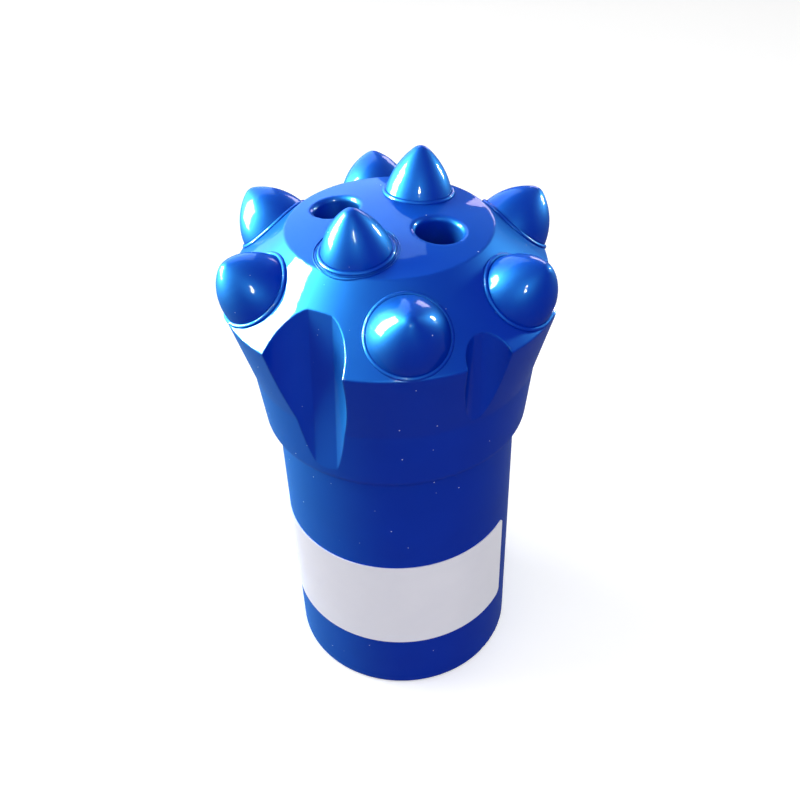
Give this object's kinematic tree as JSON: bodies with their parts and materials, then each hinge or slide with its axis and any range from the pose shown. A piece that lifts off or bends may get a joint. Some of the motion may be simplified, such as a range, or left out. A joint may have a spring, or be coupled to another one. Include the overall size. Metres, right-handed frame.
{
  "type": "threaded button drill bit",
  "caption": "Threaded rock drill bit: painted steel body with pressed-in ballistic carbide buttons, flushing holes in a crowned face, cuttings grooves and a plain label",
  "frame": {"origin": "middle of the skirt's open end, on which the bit stands", "axes": "+Z along the bit axis from the open end to the face, -Y towards the front of the label"},
  "size_m": [0.048, 0.0512, 0.0891],
  "materials": {
    "body_paint": "high gloss blue dip paint over steel",
    "button_paint": "high gloss blue dip paint over tungsten carbide",
    "label_film": "silver white vinyl film, semi-gloss"
  },
  "bodies": {
    "root": {"bit_body": "body_paint", "gauge_button_1": "button_paint", "gauge_button_2": "button_paint", "gauge_button_3": "button_paint", "gauge_button_4": "button_paint", "gauge_button_5": "button_paint", "gauge_button_6": "button_paint", "face_button_1": "button_paint", "face_button_2": "button_paint", "label": "label_film"}
  },
  "joints": []
}
